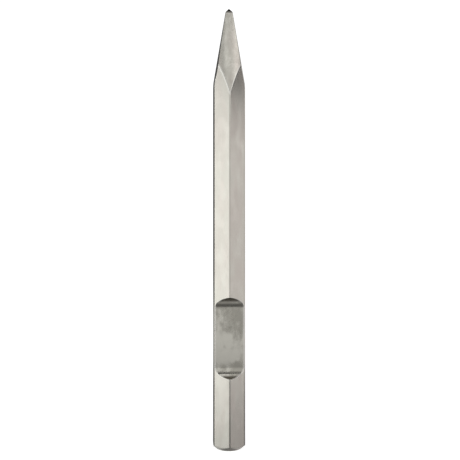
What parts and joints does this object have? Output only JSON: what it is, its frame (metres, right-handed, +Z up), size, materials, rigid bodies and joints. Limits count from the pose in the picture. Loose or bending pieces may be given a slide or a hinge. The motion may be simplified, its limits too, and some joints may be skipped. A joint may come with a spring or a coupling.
{
  "type": "pointed chisel bit",
  "caption": "Pointed chisel bit for an electric jackhammer: a hexagonal steel bar with a blunt ground point, a coved retainer notch in its shank and a chamfered striking end.",
  "frame": {"origin": "centre of the flat striking face, on the bar's axis", "axes": "+Z up the bar's axis from the striking face to the point; -Y out of the hexagon corner that carries the retainer notch; +X and -X out of two opposite flats"},
  "size_m": [0.0286, 0.0324, 0.402],
  "materials": {
    "ground_steel": "satin steel, cleaned lengthwise on the flats and ground along the point, milled in the notch"
  },
  "bodies": {
    "root": {"pointed_chisel": "ground_steel"}
  },
  "joints": []
}
